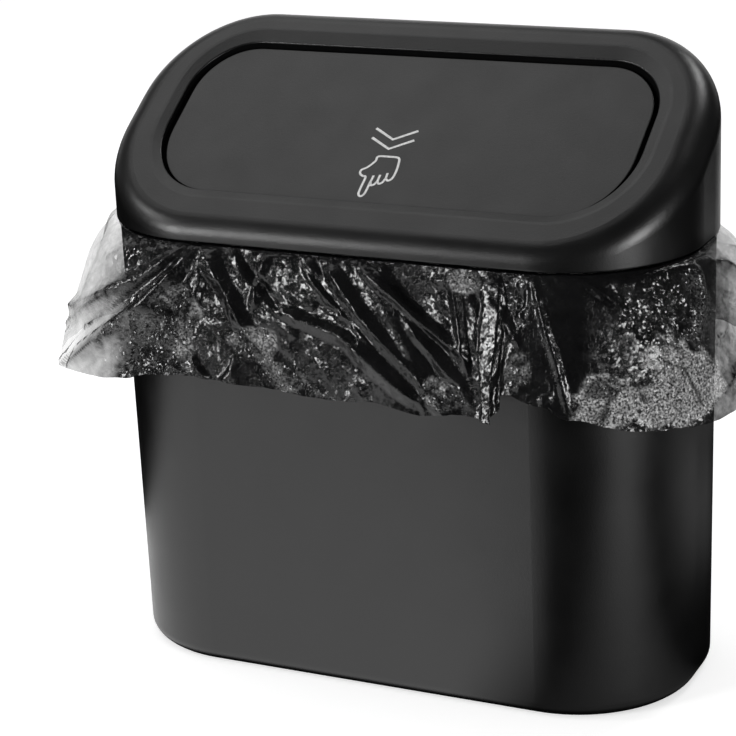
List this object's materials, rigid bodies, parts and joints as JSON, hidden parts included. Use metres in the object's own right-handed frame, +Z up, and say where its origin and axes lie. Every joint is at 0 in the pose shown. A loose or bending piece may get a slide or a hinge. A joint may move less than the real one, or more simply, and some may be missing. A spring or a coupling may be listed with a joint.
{
  "type": "car trash bin",
  "caption": "Slim lidded bin for a car door or seat back: tapered tub, sloping lift-off lid frame with a sprung push flap, rear clip and a fitted film bag.",
  "frame": {"origin": "centre of the tub's flat underside, on the surface that the bin stands on", "axes": "+Z up, -Y toward the front where the lid is low, +X to the right along the bin's width"},
  "size_m": [0.1944, 0.0957, 0.1677],
  "materials": {
    "tub_plastic": "fine matte moulded polypropylene, near black",
    "lid_plastic": "fine matte moulded polypropylene, dark grey",
    "film": "thin crinkled black film, glossy, lets light through where it stands alone",
    "steel": "drawn steel pin",
    "spring_steel": "spring wire"
  },
  "bodies": {
    "bin": {"bin_body": "tub_plastic", "rear_clip": "tub_plastic", "bin_liner": "film"},
    "lid": {"lid_frame": "lid_plastic", "hinge_pin_left": "steel", "hinge_pin_right": "steel", "return_spring_left": "spring_steel", "return_spring_right": "spring_steel"},
    "flap": {"push_flap": "lid_plastic"}
  },
  "joints": [
    {"name": "lid_lift", "type": "slide", "parent": "bin", "child": "lid", "axis": [0, 0, 1], "range_m": [0, 0.06]},
    {"name": "flap_hinge", "type": "hinge", "parent": "lid", "child": "flap", "pos_m": [0, 0.016, 0.15167], "axis": [1, 0, 0], "range_deg": [0, 70], "stiffness_Nm_per_rad": 0.02, "springref_deg": -68.75, "deforming": ["return_spring_left", "return_spring_right"]}
  ]
}
